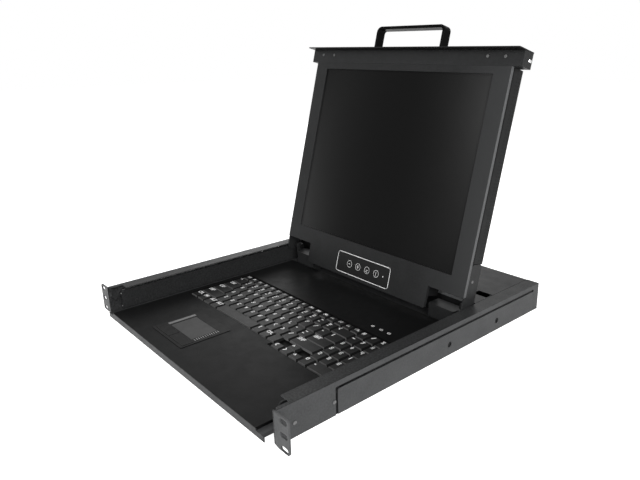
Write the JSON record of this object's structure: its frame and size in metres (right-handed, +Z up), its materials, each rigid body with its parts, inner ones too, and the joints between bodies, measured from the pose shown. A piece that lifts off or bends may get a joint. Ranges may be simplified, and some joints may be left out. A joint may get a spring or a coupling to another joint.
{
  "type": "rackmount lcd console drawer",
  "caption": "One-unit rack drawer on ball bearing slides with a fold-up flat display, keyboard, touchpad, front handle and slotted rack ears.",
  "frame": {"origin": "centre of the ear hole pattern, on the rear faces of the ears that seat on the rack posts", "axes": "+X to the user's right, +Y into the rack, +Z up"},
  "size_m": [0.4826, 0.4842, 0.4111],
  "materials": {
    "frame_paint": "fine texture powder coat",
    "tray_paint": "satin powder coat",
    "head_paint": "satin powder coat",
    "handle_metal": "dark anodised",
    "slide_steel": "rolled zinc plated",
    "bearing_steel": "polished",
    "zinc_steel": "bright zinc",
    "key_plastic": "fine matte",
    "base_plastic": "matte",
    "pad_plastic": "fine matte",
    "screen": "anti glare film",
    "overlay_film": "satin film",
    "board_laminate": "solder mask"
  },
  "bodies": {
    "rack_frame": {"rack_rail_left": "frame_paint", "rack_rail_right": "frame_paint", "outer_panel_left": "frame_paint", "outer_panel_right": "frame_paint", "ear_left": "frame_paint", "ear_right": "frame_paint", "ear_screws": "zinc_steel", "rear_tie": "frame_paint", "slide_outer_left": "slide_steel", "slide_outer_right": "slide_steel", "slide_rivets": "zinc_steel"},
    "slide_middles": {"slide_middle_left": "slide_steel", "slide_middle_right": "slide_steel"},
    "outer_cages": {"outer_ball_cages": "slide_steel", "outer_balls": "bearing_steel"},
    "inner_cages": {"inner_ball_cages": "slide_steel", "inner_balls": "bearing_steel"},
    "drawer": {"slide_inner_left": "slide_steel", "slide_inner_right": "slide_steel", "drawer_rivets": "zinc_steel", "drawer_screws": "zinc_steel", "tray_pan": "tray_paint", "tray_cover": "tray_paint", "indicator_lights": "overlay_film", "keyboard_base": "base_plastic", "keyboard_membrane": "base_plastic", "touchpad_frame": "base_plastic", "touchpad_surface": "pad_plastic", "hinge_block_left": "tray_paint", "hinge_block_right": "tray_paint", "rear_cover": "tray_paint", "rear_panel": "frame_paint", "rear_sockets": "zinc_steel", "controller_board": "board_laminate"},
    "lcd_head": {"hinge_shafts": "zinc_steel", "hinge_arm_left": "head_paint", "hinge_arm_right": "head_paint", "lcd_bezel": "head_paint", "lcd_rear_shell": "head_paint", "lcd_panel": "screen", "lcd_brackets": "slide_steel", "lcd_driver_board": "board_laminate", "osd_overlay": "overlay_film", "top_bar": "head_paint", "front_plate": "head_paint", "handle": "handle_metal", "head_screws": "zinc_steel"},
    "function_key_group": {"function_keys": "key_plastic"},
    "main_key_group": {"main_keys": "key_plastic"},
    "space_bar_key": {"space_bar": "key_plastic"},
    "arrow_key_group": {"arrow_keys": "key_plastic"},
    "numpad_key_group": {"numpad_keys": "key_plastic"},
    "pad_button_left": {"touchpad_button_left": "pad_plastic"},
    "pad_button_right": {"touchpad_button_right": "pad_plastic"},
    "osd_push_1": {"osd_button_1": "overlay_film"},
    "osd_push_2": {"osd_button_2": "overlay_film"},
    "osd_push_3": {"osd_button_3": "overlay_film"},
    "osd_push_4": {"osd_button_4": "overlay_film"},
    "bolt_left": {"latch_bolt_left": "zinc_steel"},
    "bolt_right": {"latch_bolt_right": "zinc_steel"}
  },
  "joints": [
    {"name": "drawer_slide", "type": "slide", "parent": "rack_frame", "child": "drawer", "axis": [0, -1, 0], "range_m": [0, 0.4]},
    {"name": "middle_slide", "type": "slide", "parent": "rack_frame", "child": "slide_middles", "axis": [0, -1, 0], "range_m": [0, 0.2]},
    {"name": "outer_cage_slide", "type": "slide", "parent": "rack_frame", "child": "outer_cages", "axis": [0, -1, 0], "range_m": [0, 0.1]},
    {"name": "inner_cage_slide", "type": "slide", "parent": "rack_frame", "child": "inner_cages", "axis": [0, -1, 0], "range_m": [0, 0.3]},
    {"name": "lcd_hinge", "type": "hinge", "parent": "drawer", "child": "lcd_head", "pos_m": [0, 0.3372, 0.0152], "axis": [1, 0, 0], "range_deg": [-12, 104.84]},
    {"name": "function_key_press", "type": "slide", "parent": "drawer", "child": "function_key_group", "axis": [0, 0, -1], "range_m": [0, 0.002], "stiffness_N_per_m": 1500, "springref_m": -0.001},
    {"name": "main_key_press", "type": "slide", "parent": "drawer", "child": "main_key_group", "axis": [0, 0, -1], "range_m": [0, 0.002], "stiffness_N_per_m": 4000, "springref_m": -0.001},
    {"name": "space_bar_press", "type": "slide", "parent": "drawer", "child": "space_bar_key", "axis": [0, 0, -1], "range_m": [0, 0.002], "stiffness_N_per_m": 600, "springref_m": -0.001},
    {"name": "arrow_key_press", "type": "slide", "parent": "drawer", "child": "arrow_key_group", "axis": [0, 0, -1], "range_m": [0, 0.002], "stiffness_N_per_m": 800, "springref_m": -0.001},
    {"name": "numpad_key_press", "type": "slide", "parent": "drawer", "child": "numpad_key_group", "axis": [0, 0, -1], "range_m": [0, 0.002], "stiffness_N_per_m": 1500, "springref_m": -0.001},
    {"name": "pad_left_press", "type": "slide", "parent": "drawer", "child": "pad_button_left", "axis": [0, 0, -1], "range_m": [0, 0.0005], "stiffness_N_per_m": 1200, "springref_m": -0.0005},
    {"name": "pad_right_press", "type": "slide", "parent": "drawer", "child": "pad_button_right", "axis": [0, 0, -1], "range_m": [0, 0.0005], "stiffness_N_per_m": 1200, "springref_m": -0.0005},
    {"name": "osd_press_1", "type": "slide", "parent": "lcd_head", "child": "osd_push_1", "axis": [0, 0.9666, -0.2561], "range_m": [0, 0.0004], "stiffness_N_per_m": 800, "springref_m": -0.0004},
    {"name": "osd_press_2", "type": "slide", "parent": "lcd_head", "child": "osd_push_2", "axis": [0, 0.9666, -0.2561], "range_m": [0, 0.0004], "stiffness_N_per_m": 800, "springref_m": -0.0004},
    {"name": "osd_press_3", "type": "slide", "parent": "lcd_head", "child": "osd_push_3", "axis": [0, 0.9666, -0.2561], "range_m": [0, 0.0004], "stiffness_N_per_m": 800, "springref_m": -0.0004},
    {"name": "osd_press_4", "type": "slide", "parent": "lcd_head", "child": "osd_push_4", "axis": [0, 0.9666, -0.2561], "range_m": [0, 0.0004], "stiffness_N_per_m": 800, "springref_m": -0.0004},
    {"name": "bolt_left_slide", "type": "slide", "parent": "lcd_head", "child": "bolt_left", "axis": [-1, 0, 0], "range_m": [0, 0.003]},
    {"name": "bolt_right_slide", "type": "slide", "parent": "lcd_head", "child": "bolt_right", "axis": [1, 0, 0], "range_m": [0, 0.003]}
  ],
  "couplings": [
    {"joint": "middle_slide", "follows": "drawer_slide", "ratio": 0.5},
    {"joint": "outer_cage_slide", "follows": "drawer_slide", "ratio": 0.25},
    {"joint": "inner_cage_slide", "follows": "drawer_slide", "ratio": 0.75}
  ]
}
